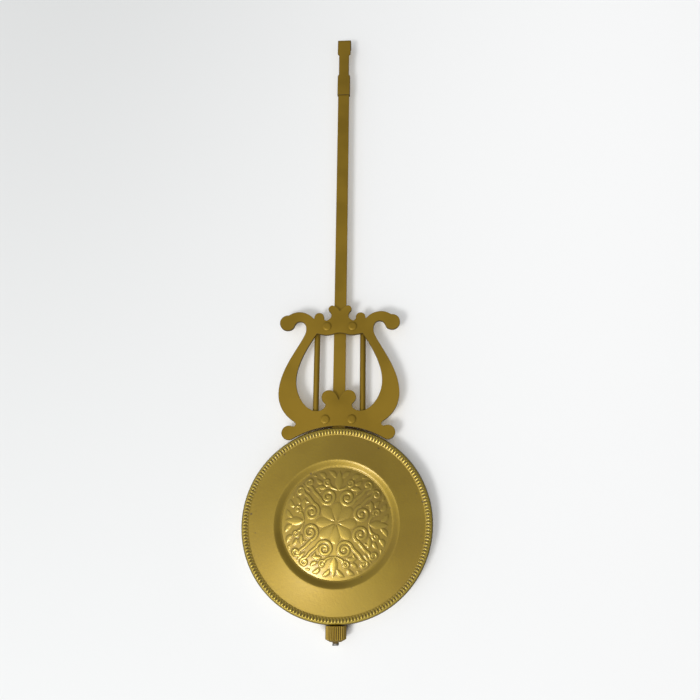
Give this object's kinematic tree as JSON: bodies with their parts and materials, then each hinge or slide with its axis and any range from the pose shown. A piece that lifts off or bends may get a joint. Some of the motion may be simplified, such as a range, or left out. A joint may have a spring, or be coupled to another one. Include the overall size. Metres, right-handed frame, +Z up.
{
  "type": "lyre clock pendulum",
  "caption": "Clock pendulum: folded suspension hook on a flat rod, stamped lyre with strings, and a pressed disc bob that rides on a knurled rating nut.",
  "frame": {"origin": "axis of the hook's bend, in the middle of its width, where the pendulum hangs", "axes": "+Z up along the hanging pendulum, +X along the hook's axis to the viewer's right, the face looks along -Y"},
  "size_m": [0.085, 0.0102, 0.3047],
  "materials": {
    "gold_finish": "satin gold lacquer",
    "bob_brass": "pressed sheet under satin lacquer",
    "nut_brass": "turned and knurled under lacquer",
    "bright_steel": "plated",
    "spring_steel": "blued",
    "slug_iron": "as cast"
  },
  "bodies": {
    "pendulum": {"suspension_hook": "gold_finish", "pendulum_rod": "gold_finish", "lyre_frame": "gold_finish", "left_string": "gold_finish", "right_string": "gold_finish", "upper_stay": "gold_finish", "lower_stay": "gold_finish", "upper_rivets": "gold_finish", "lower_rivets": "gold_finish", "threaded_stud": "bright_steel", "stud_rivets": "bright_steel"},
    "bob": {"bob_front": "bob_brass", "bob_back": "bob_brass", "left_weight": "slug_iron", "right_weight": "slug_iron", "weight_rivets": "bright_steel", "upper_guide": "bright_steel", "lower_guide": "bright_steel", "guide_rivets": "bright_steel", "friction_spring": "spring_steel"},
    "nut": {"rating_nut": "nut_brass"}
  },
  "joints": [
    {"name": "bob_slide", "type": "slide", "parent": "pendulum", "child": "bob", "axis": [0, 0, 1], "range_m": [-0.005, 0.0005]},
    {"name": "nut_turn", "type": "hinge", "parent": "bob", "child": "nut", "pos_m": [0, 0.00045, -0.298], "axis": [0, 0, 1], "range_deg": [-3600, 360]}
  ],
  "couplings": [
    {"joint": "nut_turn", "follows": "bob_slide", "rad_per_m": 12566}
  ]
}
